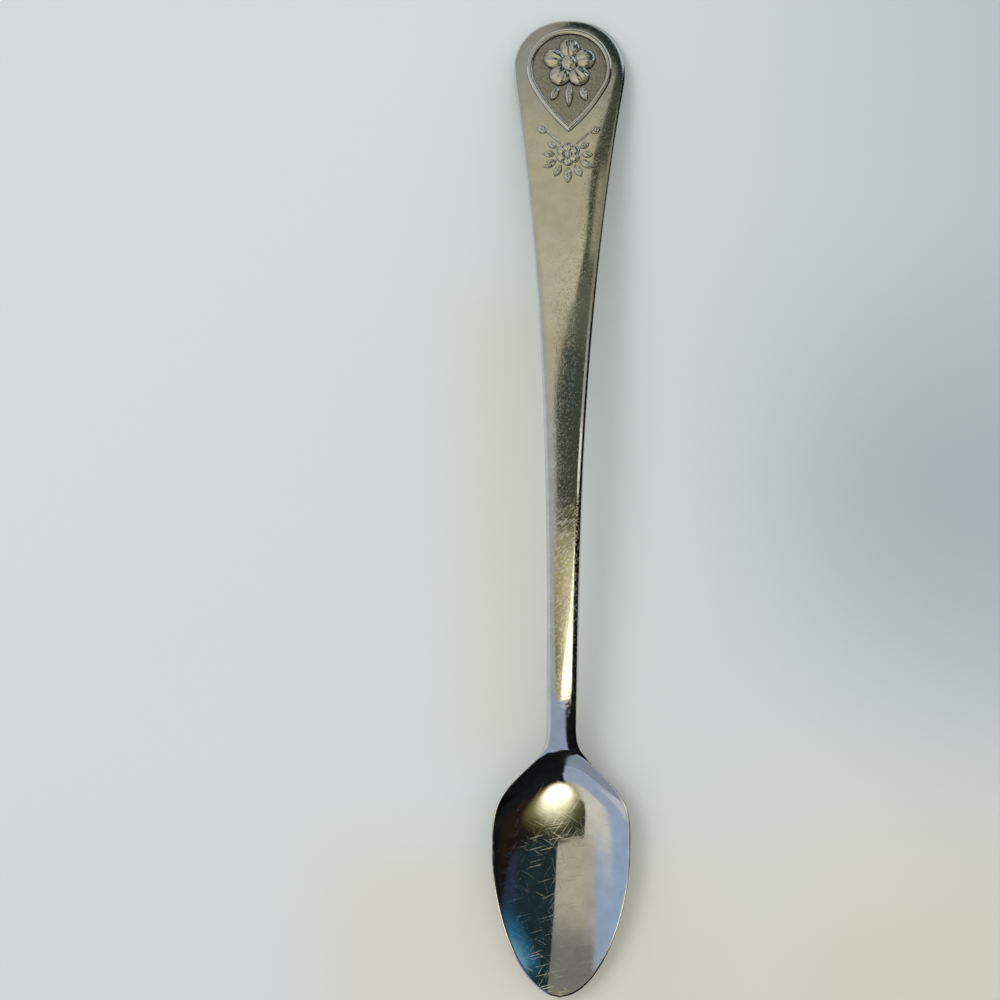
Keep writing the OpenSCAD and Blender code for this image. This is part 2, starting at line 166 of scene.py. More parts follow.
# Table: a plain pale painted top that the spoon lies on. The daylight on it is a little cooler on the
# right and warmer beside the bowl, so soft patches are laid over its colour, with places in mm.
bpy.ops.mesh.primitive_plane_add(size=6, location=(0, 0, 0))
table = bpy.context.object
table.name = "table"
table_paint = bpy.data.materials.new("pale_table")
table_paint.use_nodes = True
tree = table_paint.node_tree
shader = tree.nodes["Principled BSDF"]
places = add_node(tree, "SeparateXYZ", {0: add_node(tree, "VectorMath", {
    0: add_node(tree, "TexCoord", output="Object"), 3: 1 / MM}, operation="SCALE")}).node
tree.links.new(painted(tree, "#D8DDDB", places.outputs, [
    ("#B8C1C4", (45, 130), (-40, 130), 45), ("#DAD6C6", (25, 110), (-115, -45), 22),
    ("#D8D9CE", (-16, -2), (-36, 30), 6), ("#DAD7C9", (-34, 26), (-95, -50), 10),
    ("#ACB5B8", (34, 110), (-18, 25), 24)]), shader.inputs["Base Color"])
shader.inputs["Roughness"].default_value = 0.6
table.data.materials.append(table_paint)

# Boards: flat lit boards that only the polish sees. Those over the stem stand for the camera's own
# dark body, a lamp with its golden glow, pale daylight on the left and a black side on the right.
# Their corners are in mm, 60 mm over the table.
def board(name, corners, colour, patches=(), height=60.0, strength=MIRRORED):
    """Adds a board by its corners, in mm, level unless they have heights of their own."""
    bpy.ops.object.select_all(action="DESELECT")
    bpy.ops.mesh.primitive_circle_add(vertices=len(corners), fill_type="NGON", radius=1,
                                      location=(0, 0, 0))
    piece = bpy.context.object
    piece.name = name
    for vertex, corner in zip(piece.data.vertices, corners):
        vertex.co = [length * MM for length in (*corner, height)[:3]]
    piece.visible_camera = piece.visible_diffuse = piece.visible_shadow = False
    paint = bpy.data.materials.new(name)
    paint.use_nodes = True
    tree = paint.node_tree
    tree.nodes.clear()
    places = add_node(tree, "SeparateXYZ", {0: add_node(tree, "VectorMath", {
        0: add_node(tree, "TexCoord", output="Object"), 3: 1 / MM}, operation="SCALE")}).node
    add_node(tree, "OutputMaterial", {0: add_node(tree, "Emission", {
        0: painted(tree, colour, places.outputs, patches), 1: strength})})
    piece.data.materials.append(paint)


# Where the camera's dark body ends on the left, and on the right the glint beside it
SHADE_EDGE = [(-7.4, -8.5), (-6.7, 0), (-6.4, 6.5), (-6.1, 23), (-5.4, 28), (-3.9, 34), (-2.3, 40),
              (-0.7, 45), (0.8, 52), (9, 60), (15, 68), (11.5, 79), (12, 88), (17, 92), (26, 99)]
GLINT_EDGE = [(50, -3), (44, 2), (42, 5.6), (50, 14), (57, 24), (62, 40), (50, 60), (40, 80), (54, 89),
              (68, 101)]
GOLD_EDGE = [(-8.5, -13), (-20, -20), (-21, -30), (-14, -40), (-17, -52), (-18, -62)]
board("golden_board", [(62, -62), (53, -44), (46, -28), (40, -8.5), (-7.4, -8.5)] + GOLD_EDGE,
      "#A59D76", [("#C6BD97", (2, 999), (-45, -14), 6), ("#75724F", (-999, -8), (-52, -26), 4),
                  ("#979068", ALL, (-13, 0), 4)])
board("lamp_board", [(36, -13), (20, -21), (10.5, -28), (5.6, -38.4), (1.6, -44.7), (-1.9, -51.6),
                     (-3.9, -58.5), (8, -60), (42, -61), (48, -45), (46, -31), (42, -13)],
      "#FFFBE2", height=59.8, strength=MIRRORED * 1.7)
board("dark_board", SHADE_EDGE + [(31, 109), (58, 103)] + GLINT_EDGE[::-1] + [(40, -8.5)], "#3D4135",
      [("#39413B", ALL, (22, 40), 6), ("#565A4D", (-2, 999), (42, 60), 5),
       ("#918E79", (23, 999), (64, 83), 3)])
board("pale_strip", GLINT_EDGE + [(110, 102), (115, 53), (190, 36), (175, 18), (128, 4), (100, -4)],
      "#9DA09C", [("#EDEBE4", ALL, (-4, 20), 4), ("#807F6C", ALL, (52, 999), 8)])
board("black_board", [(40, -8.5), (50, -3), (100, -4), (128, 4), (175, 18), (190, 36), (115, 53),
                      (110, 102), (300, 102), (300, -62), (62, -62), (53, -44), (46, -28)], "#040506")
board("daylight_board", [(-300, 140), (-300, -62)] + GOLD_EDGE[::-1] + SHADE_EDGE
      + [(20, 104), (8, 112), (8, 140)], "#A3A5A5",
      [("#ABA68E", (-60, 999), (26, 999), 12), ("#B7B29B", (-40, 999), (46, 68), 8),
       ("#8F928C", ALL, (98, 999), 8)])

# Boards round the spoon, with a height to each corner: a sloped one over the neck and upright ones
# past the bowl and at both sides, for the low parts of the room that steep faces and edges mirror
board("neck_board", [(-30, -44.5, 15), (30, -44.5, 15), (30, -37.2, 25), (-30, -37.2, 25)], "#8F9DB4",
      [("#050607", (2.2, 999), ALL, 0.4)])
board("end_board", [(-60, -72, 0.2), (60, -72, 0.2), (60, -72, 20), (-60, -72, 20)], "#98A6BE",
      [("#101316", (-2.4, 999), ALL, 1)])
board("right_board", [(24, -72, 0.2), (24, 75, 0.2), (24, 75, 13), (24, -72, 13)], "#040506")
board("left_board", [(-24, -72, 0.2), (-24, 75, 0.2), (-24, 75, 14), (-24, -72, 14)], "#B9BDC6")

# Soft studio lamp from the upper left, aimed at the spoon, which gives it its shadow on the table.
# It is kept out of the mirrored room.
STUDIO_PLACE, STUDIO_SIZE, STUDIO_POWER = (-0.55, 0.45, 0.9), 0.5, 3.5
lamp_data = bpy.data.lights.new("soft_lamp", "AREA")
lamp_data.size = STUDIO_SIZE
lamp_data.energy = STUDIO_POWER
lamp = bpy.data.objects.new("soft_lamp", lamp_data)
lamp.location = STUDIO_PLACE
lamp.rotation_euler = (-lamp.location).to_track_quat("-Z", "Y").to_euler()
bpy.context.scene.collection.objects.link(lamp)
lamp.visible_glossy = False

# Bowl: the dished end of the one stamped steel blank, deepest towards the throat, with a thin
# rounded rim. It is drawn in the press and polished bright, and use has covered it in hairlines.
# Names in _L are places along the blank, in mm from the bowl's tip.
LENGTH, BOWL_L, WIDEST_L = 140.0, 40.0, 21.0
BOWL_W, SHANK_W, HANDLE_W = 19.7, 4.4, 16.0
NECK_END_L, SHANK_END_L, CREST_L = 56.0, 85.0, 76.0
BOWL_DEPTH, DISH_END_L = 3.4, BOWL_L - 4.0
BOWL_T, RIM_T, SHANK_T, HANDLE_T = 1.2, 1.0, 2.5, 1.6
TIP_DROP, THROAT_RISE, CREST_RISE, NECK_CROWN, SHANK_CROWN = 1.7, 2.6, 6.5, 0.3, 0.15
WEAR_D, END_WEAR_D = 0.08, 0.15
END_TILT, FLARE_SLOPE = radians(10.8), tan(radians(9.5))
TIP_POWER, BELL_POWERS, DISH_POWERS, END_POWER = 1.75, (3.9, 5.5), (9.5, 2.1), 2.2
NOSE_HALF_W = 0.35
RIM_EDGE, SHANK_EDGE, HANDLE_EDGE, UNDER_EDGE = (0.4, 0.35), (1.2, 1.0), (3.8, 0.8), (0.4, 0.35)

MEDALLION_R, MEDALLION_REACH, MEDALLION_MARGIN = 6.1, 9.8, 1.5
SPRAY_Y, SPRAY_ROOT_R, SPRAY_LEAF_L = -13.1, 1.87, 2.5
END_R = HANDLE_W / 2
END_L = LENGTH - END_R
MEDALLION_L = LENGTH - (MEDALLION_MARGIN + MEDALLION_R) * cos(END_TILT)
FLAT_L = MEDALLION_L + (SPRAY_Y - SPRAY_ROOT_R - SPRAY_LEAF_L - 0.6) * cos(END_TILT)
JOIN_SHARE = (FLARE_SLOPE ** (END_POWER / (END_POWER - 1)) + 1) ** (-1 / END_POWER)
JOIN_L = END_L - END_R * JOIN_SHARE * FLARE_SLOPE ** (1 / (END_POWER - 1))
FLARE_POWER = FLARE_SLOPE * (JOIN_L - BOWL_L) / (END_R * JOIN_SHARE - SHANK_W / 2)


def blend(a, b, share):
    """A value between a and b."""
    return a + (b - a) * share


def eased(places, values, s):
    """A value that eases from one place to the next along the spoon."""
    result = np.full_like(s, values[0])
    for start, end, a, b in zip(places, places[1:], values, values[1:]):
        share = np.clip((s - start) / (end - start), 0, 1)
        result = np.where(s > start, blend(a, b, share * share * (3 - 2 * share)), result)
    return result


def front_share(s):
    """How much of the bowl's greatest width, squared, the tip has reached."""
    return np.maximum(0, 1 - np.maximum(0, 1 - s / WIDEST_L) ** TIP_POWER)


def bell(share, powers):
    """Falls from 1 to 0, flat at both ends."""
    return np.maximum(0, 1 - np.clip(share, 0, 1) ** powers[0]) ** powers[1]


def half_width(s):
    """Half the spoon's width at a distance s from the bowl's tip."""
    tip = BOWL_W / 2 * np.sqrt(front_share(s))
    rear = blend(SHANK_W, BOWL_W, bell((s - WIDEST_L) / (BOWL_L - WIDEST_L), BELL_POWERS)) / 2
    stem = blend(SHANK_W / 2, END_R * JOIN_SHARE,
                 np.clip((s - BOWL_L) / (JOIN_L - BOWL_L), 0, 1) ** FLARE_POWER)
    end = END_R * np.maximum(0, 1 - np.abs((s - END_L) / END_R) ** END_POWER) ** (1 / END_POWER)
    return np.maximum(NOSE_HALF_W, np.where(
        s < WIDEST_L, tip, np.where(s < BOWL_L, rear, np.where(s < JOIN_L, stem, end))))


LINE_PLACES = [0, WIDEST_L, BOWL_L, CREST_L, FLAT_L, LENGTH]
LINE_SLOPES = [0.04, 0.03, 0.24, 0, -tan(END_TILT), -tan(END_TILT)]


def line_height(s, heights):
    """Height of the line that the edge of the top face follows, seen from the side."""
    result = np.zeros_like(s)
    for i in range(len(heights) - 1):
        run = LINE_PLACES[i + 1] - LINE_PLACES[i]
        t = (s - LINE_PLACES[i]) / run
        curve = (heights[i] * (2 * t ** 3 - 3 * t ** 2 + 1) + heights[i + 1] * (3 * t ** 2 - 2 * t ** 3)
                 + run * (LINE_SLOPES[i] * (t ** 3 - 2 * t ** 2 + t)
                          + LINE_SLOPES[i + 1] * (t ** 3 - t ** 2)))
        result = np.where(s >= LINE_PLACES[i], curve, result)
    return result


def dish_depth(s):
    """Depth of the bowl's floor under the rim line, on the middle line."""
    rear = bell((s - WIDEST_L) / (DISH_END_L - WIDEST_L), DISH_POWERS)
    return BOWL_DEPTH * np.where(s < WIDEST_L, front_share(s), rear)


RISES = [-TIP_DROP, 0, THROAT_RISE, CREST_RISE]
tip_places = np.linspace(0, WIDEST_L, 61)
RIM_H = -(line_height(tip_places, RISES) - dish_depth(tip_places) - BOWL_T).min() - WEAR_D
END_H = HANDLE_T - END_WEAR_D
LINE_HEIGHTS = [RIM_H + rise for rise in RISES] + [END_H + tan(END_TILT) * (LENGTH - FLAT_L), END_H]


def edge_distance(x, s):
    """Distance from a point of the face in to the outline."""
    step = 0.01
    slope = (half_width(s + step) - half_width(s - step)) / (2 * step)
    slope = np.where((s < step) | (s > LENGTH - step), 0, slope)
    side = (half_width(s) - np.abs(x)) / np.sqrt(1 + np.where(s < WIDEST_L, slope, 0) ** 2)
    beyond = (np.abs(x) / END_R) ** END_POWER + (np.maximum(0, s - END_L) / END_R) ** END_POWER
    return np.where(s <= END_L, side, END_R * (1 - beyond ** (1 / END_POWER)))


def fall(distance, width, height):
    """How far a rounded edge falls at a distance from the outline."""
    share = np.clip((width - np.maximum(0, distance)) / width, 0, 1)
    return height * (1 - np.sqrt(np.maximum(0, 1 - share ** 2)))


EDGE_PLACES = [0.7 * BOWL_L, BOWL_L, CREST_L, FLAT_L]


def faces_height(x, s):
    """Heights of the blank's top and underside at a place x across it."""
    half = half_width(s)
    across = (x / half) ** 2
    depth = np.maximum(dish_depth(s), 1e-9)
    arc_r = (half ** 2 + depth ** 2) / (2 * depth)
    arc = x ** 2 / (arc_r + np.sqrt(np.maximum(0, arc_r ** 2 - x ** 2)))
    crown = eased(EDGE_PLACES, [0, NECK_CROWN, SHANK_CROWN, 0], s) * (1 - across)
    face = line_height(s, LINE_HEIGHTS) - dish_depth(s) + arc + crown
    top_w, top_h = [eased(EDGE_PLACES, [RIM_EDGE[i], SHANK_EDGE[i], SHANK_EDGE[i], HANDLE_EDGE[i]], s)
                    for i in (0, 1)]
    middle_t = eased(EDGE_PLACES, [BOWL_T, SHANK_T + NECK_CROWN, SHANK_T + SHANK_CROWN, HANDLE_T], s)
    edge_t = eased(EDGE_PLACES, [RIM_T, SHANK_T, SHANK_T, HANDLE_T], s)
    inward = edge_distance(x, s)
    top = face - fall(inward, top_w, top_h)
    under = face - blend(middle_t, edge_t, across) + fall(inward, *UNDER_EDGE)
    return top, np.maximum(0, under)


COLUMNS = 96


def blank_zone(name, stations):
    """One formed length of the blank: a grid is wrapped round its sections and closed at both ends."""
    ring = 2 * (COLUMNS + 1)
    rows = len(stations)
    bpy.ops.mesh.primitive_grid_add(x_subdivisions=ring, y_subdivisions=rows - 1, size=2)
    piece = bpy.context.object
    piece.name = piece.data.name = name
    grid = np.zeros(len(piece.data.vertices) * 3)
    piece.data.vertices.foreach_get("co", grid)
    grid = grid.reshape(-1, 3)
    i = np.rint((grid[:, 0] + 1) / 2 * ring).astype(int) % ring
    s = np.asarray(stations)[np.rint((grid[:, 1] + 1) / 2 * (rows - 1)).astype(int)]
    over = i <= COLUMNS
    column = np.where(over, i, ring - 1 - i)
    x = half_width(s) * np.sin(np.radians(90 * (2 * column / COLUMNS - 1)))
    top, under = faces_height(x, s)
    points = np.stack([x, s - LENGTH / 2, np.where(over, top, under)], axis=1) * MM
    piece.data.vertices.foreach_set("co", points.ravel())
    bpy.ops.object.mode_set(mode="EDIT")
    bpy.ops.mesh.select_all(action="SELECT")
    bpy.ops.mesh.remove_doubles(threshold=1e-8)
    bpy.ops.mesh.select_all(action="DESELECT")
    bpy.ops.mesh.select_non_manifold(extend=False)
    bpy.ops.mesh.edge_face_add()
    bpy.ops.mesh.select_all(action="SELECT")
    bpy.ops.mesh.normals_make_consistent(inside=False)
    bpy.ops.object.mode_set(mode="OBJECT")
    bpy.ops.object.shade_smooth_by_angle(angle=radians(40))
    piece.select_set(False)
    return piece


def dashes(tree, place, turn, cell, size, kept):
    """Straight marks in one direction, one to a cell: sizes in mm, and only a share of them kept."""
    turned = add_node(tree, "Mapping", {"Vector": place, "Rotation": (0, 0, radians(turn)),
                                        "Scale": (*cell, 1)}, vector_type="TEXTURE")
    cells = add_node(tree, "TexVoronoi", {"Vector": turned, "Scale": 1.0}, voronoi_dimensions="2D").node
    away = add_node(tree, "VectorMath", {0: turned, 1: cells.outputs["Position"]}, operation="SUBTRACT")
    away = add_node(tree, "SeparateXYZ", {0: add_node(tree, "VectorMath", {0: away},
                                                      operation="ABSOLUTE")}).node
    chance = add_node(tree, "SeparateXYZ", {0: cells.outputs["Color"]}).node
    mark = add_node(tree, "Math", {0: chance.outputs[0], 1: kept}, operation="LESS_THAN")
    mark = add_node(tree, "Math", {0: mark, 1: chance.outputs[1]}, operation="MULTIPLY")
    for axis in (0, 1):
        half = size[axis] / cell[axis] / 2
        inside = add_node(tree, "MapRange", {0: away.outputs[axis], 1: half, 2: half * 0.4})
        mark = add_node(tree, "Math", {0: mark, 1: inside}, operation="MULTIPLY")
    return mark


# Polished stainless steel: a mirror in the bowl, duller towards the handle, where hands have rubbed
# it. Real hairlines are a hundredth of a millimetre wide and are drawn six to nine times coarser, so
# that they show.
steel = bpy.data.materials.new("polished_stainless_steel")
steel.use_nodes = True
tree = steel.node_tree
shader = tree.nodes["Principled BSDF"]
place = add_node(tree, "VectorMath", {0: add_node(tree, "TexCoord", output="Object"), 3: 1 / MM},
                 operation="SCALE")
along = add_node(tree, "SeparateXYZ", {0: place}, 1)
# Places along the spoon in mm from its middle: where the bowl gives way to the stem, where hands
# have rubbed it, and the start and end of a stretch of the stem that is scratched crosswise
BOWL_SIDE, STEM_SIDE = -34.0, -26.0
RUBBED_FROM, RUBBED_TO = 8.0, 45.0
CROSSED_START, CROSSED_END = (-19.0, -14.0), (2.0, -2.0)
in_bowl = add_node(tree, "MapRange", {0: along, 1: STEM_SIDE, 2: BOWL_SIDE})
on_stem = add_node(tree, "MapRange", {0: along, 1: BOWL_SIDE, 2: STEM_SIDE})
rubbed = add_node(tree, "MapRange", {0: along, 1: RUBBED_FROM, 2: RUBBED_TO})
crossed = add_node(tree, "Math", {
    0: add_node(tree, "MapRange", {0: along, 1: CROSSED_START[0], 2: CROSSED_START[1]}),
    1: add_node(tree, "MapRange", {0: along, 1: CROSSED_END[0], 2: CROSSED_END[1]})},
    operation="MULTIPLY")
# Rubbing has worn down the handle's marks
on_stem = add_node(tree, "Math", {0: rubbed, 1: -0.4, 2: on_stem}, operation="MULTIPLY_ADD")

# Waves of 4 mm carry the marks aside by 0.15 mm at most, so that none is quite straight
WANDER_L, WANDER_W = 4.0, 0.3
wander = add_node(tree, "TexNoise", {"Vector": place, "Scale": 1 / WANDER_L, "Detail": 1.0}, 1)
wander = add_node(tree, "VectorMath", {0: wander, 1: (0.5, 0.5, 0.5)}, operation="SUBTRACT")
wandered = add_node(tree, "VectorMath", {0: wander, 1: (WANDER_W,) * 3, 2: place},
                    operation="MULTIPLY_ADD")
# Directions, cell, length and width in mm, share kept, depth in mm, added roughness, and where
MARKS = [((12, 58, 103, 148), (3.6, 0.4), (3.2, 0.06), 0.6, 0.0016, 0.14, in_bowl),
         ((24, 137), (6.0, 2.6), (3.2, 0.09), 0.15, 0.003, 0.2, in_bowl),
         ((15, 75, 135), (0.6, 0.2), (0.5, 0.09), 0.7, 0.0045, 0.2, on_stem),
         ((40, -50), (1.3, 0.24), (1.2, 0.09), 0.9, 0.015, 0.14, crossed)]
POLISH, STEM_DULLER, RUBBED_DULLER = 0.05, 0.03, 0.03
height, roughness, mark_shade = 0.0, POLISH, 0.0
for turns, cell, size, kept, depth, rougher, where in MARKS:
    for turn in turns:
        mark = add_node(tree, "Math", {0: dashes(tree, wandered, turn, cell, size, kept), 1: where},
                        operation="MULTIPLY")
        height = add_node(tree, "Math", {0: mark, 1: -depth, 2: height}, operation="MULTIPLY_ADD")
        roughness = add_node(tree, "Math", {0: mark, 1: rougher, 2: roughness},
                             operation="MULTIPLY_ADD")
        mark_shade = add_node(tree, "Math", {0: mark, 1: rougher, 2: mark_shade}, operation="MULTIPLY_ADD")
roughness = add_node(tree, "Math", {0: on_stem, 1: STEM_DULLER, 2: roughness},
                     operation="MULTIPLY_ADD")
roughness = add_node(tree, "Math", {0: rubbed, 1: RUBBED_DULLER, 2: roughness},
                     operation="MULTIPLY_ADD")

# The press leaves a faint waviness, 2.2 mm from crest to crest, and tarnish a faint cloudiness
WAVES_PER_MM, WAVE_H = 0.45, 0.006
cloud = add_node(tree, "TexNoise", {"Vector": place, "Scale": WAVES_PER_MM, "Detail": 4.0})
height = add_node(tree, "Math", {0: cloud, 1: WAVE_H, 2: height}, operation="MULTIPLY_ADD")
cloud = add_node(tree, "MapRange", {0: cloud, 1: 0.35, 2: 0.7})
colour = add_node(tree, "Mix", {0: cloud, 6: "#D8D7D2", 7: "#CDCBC4"}, 2, data_type="RGBA")
# Painted shade along the marks: their colour is darkened in step with their added roughness
colour = add_node(tree, "Mix", {0: mark_shade, 6: colour, 7: "#8F8C82"}, 2, data_type="RGBA")

# The medallion's sunk ground: the die's stipple, 0.3 mm apart, has kept it matt, and its colour is darkened
# as painted shade
STIPPLE_STEP, STIPPLE_H, GROUND_DULLER = 0.3, 0.03, 0.22
ground = add_node(tree, "Attribute", output="Fac", attribute_name="ground")
stipple = add_node(tree, "TexVoronoi", {"Vector": place, "Scale": 1 / STIPPLE_STEP})
stipple = add_node(tree, "Math", {0: stipple, 1: ground}, operation="MULTIPLY")
height = add_node(tree, "Math", {0: stipple, 1: STIPPLE_H, 2: height}, operation="MULTIPLY_ADD")
roughness = add_node(tree, "Math", {0: ground, 1: GROUND_DULLER, 2: roughness},
                     operation="MULTIPLY_ADD")
# Painted shade on the sunk ground: its colour is darkened, mottled by the stipple
ground_shade = add_node(tree, "Math", {0: stipple, 1: 0.4, 2: add_node(tree, "Math", {0: ground, 1: 0.3},
                                                                operation="MULTIPLY")},
                 operation="MULTIPLY_ADD")
colour = add_node(tree, "Mix", {0: ground_shade, 6: colour, 7: "#77745F"}, 2, data_type="RGBA")
tree.links.new(colour, shader.inputs["Base Color"])
tree.links.new(roughness, shader.inputs["Roughness"])
tree.links.new(add_node(tree, "Bump", {"Height": height, "Distance": MM}), shader.inputs["Normal"])
shader.inputs["Metallic"].default_value = 1.0

front = WIDEST_L * (1 - np.cos(np.linspace(0, pi / 2, 100)))
rear = np.linspace(WIDEST_L, BOWL_L, 110)[1:]
bowl_body = blank_zone("bowl_body", np.concatenate([front, rear]))
bowl_body.data.materials.append(steel)
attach(bowl_body, "root")
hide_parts("bowl")

# Neck: the short stretch of the blank that rises out of the bowl. The press narrows it to the stem's
# width and bends it upwards, and it is polished with the bowl.
neck_body = blank_zone("neck_body", np.linspace(BOWL_L, NECK_END_L, 60))
neck_body.data.materials.append(steel)
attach(neck_body, "root")
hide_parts("neck")

# Shank: the slim stem over the top of the arch. It is the thickest stretch of the blank, so that it
# doesn't bend, with shoulders rounded by the dies.
shank_body = blank_zone("shank_body", np.linspace(NECK_END_L, SHANK_END_L, 60))
shank_body.data.materials.append(steel)
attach(shank_body, "root")
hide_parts("shank")

# Handle: the blank flares to a flat round end that tilts down to the table. The dies leave a broad
# pillowed edge round it, and hands have rubbed its polish to a soft satin.
flared = np.linspace(SHANK_END_L, JOIN_L, 120)
round_end = JOIN_L + (LENGTH - JOIN_L) * np.sin(np.linspace(0, pi / 2, 80))[1:]
handle_body = blank_zone("handle_body", np.concatenate([flared, round_end]))
handle_body.data.materials.append(steel)
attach(handle_body, "root")
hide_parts("handle")

# Medallion's rim: a teardrop bead struck up from the handle's face, round over the top and mitred
# at its lower point. The die has sunk the ground inside it a little.
BEAD_W, BEAD_H, FOOT, SUNK = 0.85, 0.32, 0.35, 0.1
SIDE_ANGLE, SIDE_SHARE = radians(27), 0.22
SIDE_GROW = ((MEDALLION_REACH ** 2 - MEDALLION_R ** 2)
             / (2 * (MEDALLION_R - MEDALLION_REACH * sin(SIDE_ANGLE))))
SIDE_R = MEDALLION_R + SIDE_GROW
SIDE_MIDDLE = (-SIDE_GROW * cos(SIDE_ANGLE), SIDE_GROW * sin(SIDE_ANGLE))
MEDALLION_H = float(line_height(np.array([MEDALLION_L]), LINE_HEIGHTS)[0])


def on_handle(points, y=0, turn=0):
    """Stands points, in mm, on the handle's tilted, pillowed end, at y from the medallion's middle."""
    across = points[:, 0] * cos(turn) - points[:, 1] * sin(turn)
    up_face = points[:, 0] * sin(turn) + points[:, 1] * cos(turn) + y
    inward = edge_distance(across, MEDALLION_L + up_face * cos(END_TILT))
    height = points[:, 2] - fall(inward, *HANDLE_EDGE)
    return np.stack([across,
                     up_face * cos(END_TILT) + height * sin(END_TILT) + MEDALLION_L - LENGTH / 2,
                     height * cos(END_TILT) - up_face * sin(END_TILT) + MEDALLION_H], axis=1) * MM


def teardrop(share, inset):
    """A point a share of the way round the medallion's outline, at a distance inside it."""
    side = np.clip(np.minimum(share, 1 - share) / SIDE_SHARE, 0, 1)
    end_turn = np.arccos(np.clip(-SIDE_MIDDLE[0] / (SIDE_R - inset), -1, 1))
    side_turn = -blend(end_turn, SIDE_ANGLE, side)
    side_x = SIDE_MIDDLE[0] + (SIDE_R - inset) * np.cos(side_turn)
    side_y = SIDE_MIDDLE[1] + (SIDE_R - inset) * np.sin(side_turn)
    turn = blend(-SIDE_ANGLE, pi + SIDE_ANGLE, (share - SIDE_SHARE) / (1 - 2 * SIDE_SHARE))
    on_side = (share < SIDE_SHARE) | (share > 1 - SIDE_SHARE)
    side_x = np.where(share > 0.5, -side_x, side_x)
    return (np.where(on_side, side_x, (MEDALLION_R - inset) * np.cos(turn)),
            np.where(on_side, side_y, (MEDALLION_R - inset) * np.sin(turn)))


def inside_medallion(x, y):
    """Distance from a place on the handle's face in to the medallion's outline."""
    on_side = np.arctan2(y, np.abs(x)) < -SIDE_ANGLE
    return np.where(on_side, SIDE_R - np.hypot(np.abs(x) - SIDE_MIDDLE[0], y - SIDE_MIDDLE[1]),
                    MEDALLION_R - np.hypot(x, y))


# The ground starts to sink under the bead, which hides its edge
GROUND_EDGE = 0.3 * BEAD_W
points = np.zeros(len(handle_body.data.vertices) * 3)
handle_body.data.vertices.foreach_get("co", points)
points = points.reshape(-1, 3) / MM
up_face = (points[:, 1] + LENGTH / 2 - MEDALLION_L) / cos(END_TILT)
ground_share = np.clip((inside_medallion(points[:, 0], up_face) - GROUND_EDGE) / GROUND_EDGE, 0, 1)
ground_share *= points[:, 2] > MEDALLION_H - up_face * sin(END_TILT) - HANDLE_T / 2
points[:, 2] -= SUNK * ground_share
handle_body.data.vertices.foreach_set("co", (points * MM).ravel())
handle_body.data.attributes.new("ground", "FLOAT", "POINT").data.foreach_set("value", ground_share)

# Ornament of the same steel: rubbed bright along its crests, with grime and tarnish round its foot
ornament = bpy.data.materials.new("struck_ornament_steel")
ornament.use_nodes = True
tree = ornament.node_tree
shader = tree.nodes["Principled BSDF"]
crest = add_node(tree, "Attribute", output="Fac", attribute_name="crest")
place = add_node(tree, "VectorMath", {0: add_node(tree, "TexCoord", output="Object"), 3: 1 / MM},
                 operation="SCALE")
speck = add_node(tree, "TexNoise", {"Vector": place, "Scale": 3.0, "Detail": 3.0})
bright = add_node(tree, "Math", {0: speck, 1: 0.5, 2: crest}, operation="MULTIPLY_ADD")
bright = add_node(tree, "MapRange", {0: bright, 1: 0.45, 2: 0.95})
tree.links.new(add_node(tree, "Mix", {0: bright, 6: "#4E4B3E", 7: "#E2E1DC"}, 2, data_type="RGBA"),
               shader.inputs["Base Color"])
tree.links.new(add_node(tree, "MapRange", {0: bright, 3: 0.42, 4: 0.06}), shader.inputs["Roughness"])
tree.links.new(add_node(tree, "Bump", {"Height": speck, "Distance": 0.02 * MM}),
               shader.inputs["Normal"])
shader.inputs["Metallic"].default_value = 1.0

ROUNDS, SECTIONS = 240, 24
bpy.ops.mesh.primitive_torus_add(major_segments=ROUNDS, minor_segments=SECTIONS, major_radius=1,
                                 minor_radius=0.25)
rim_detail = bpy.context.object
rim_detail.name = rim_detail.data.name = "medallion_rim_detail"
order = np.arange(ROUNDS * SECTIONS)
share, lap = order // SECTIONS / ROUNDS, order % SECTIONS * 2 * pi / SECTIONS
x, y = teardrop(share, BEAD_W / 2 * (1 - np.cos(lap)))
height = np.where(np.sin(lap) > 0, BEAD_H, FOOT) * np.sin(lap)
rim_detail.data.vertices.foreach_set("co", on_handle(np.stack([x, y, height], axis=1)).ravel())
rim_detail.data.attributes.new("crest", "FLOAT", "POINT").data.foreach_set(
    "value", np.clip(np.sin(lap), 0, 1))
rim_detail.data.materials.append(ornament)
rim_detail.select_set(True)
bpy.ops.object.mode_set(mode="EDIT")
bpy.ops.mesh.select_all(action="SELECT")
bpy.ops.mesh.normals_make_consistent(inside=False)
bpy.ops.object.mode_set(mode="OBJECT")
bpy.ops.object.shade_smooth()
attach(rim_detail, "root")
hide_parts("medallion_rim")

# Blossom in the medallion: five petals, each with a groove down its middle and fine veins, round
# a boss of seeds. The die has struck it up from the same sheet, so all its forms are soft domes.
BLOSSOM_LIFT, PETAL_R, PETAL_H, BOSS_R, BOSS_H = 0.7, 1.55, 0.55, 1.25, 0.8
BLOSSOM_GAP, PETAL_GROOVE = 0.7, 0.14
PETAL_RING_R = MEDALLION_R - BEAD_W - BLOSSOM_GAP - BLOSSOM_LIFT - PETAL_R
GROOVE_W, VEINS, VEIN_ROOT, VEIN_SHARE = 0.09, 26, 1.3, 0.35
SEED_R, SEED_RINGS = 0.17, ((0, 1, 0.08), (0.42, 6, 0.12), (0.82, 12, 0.27))


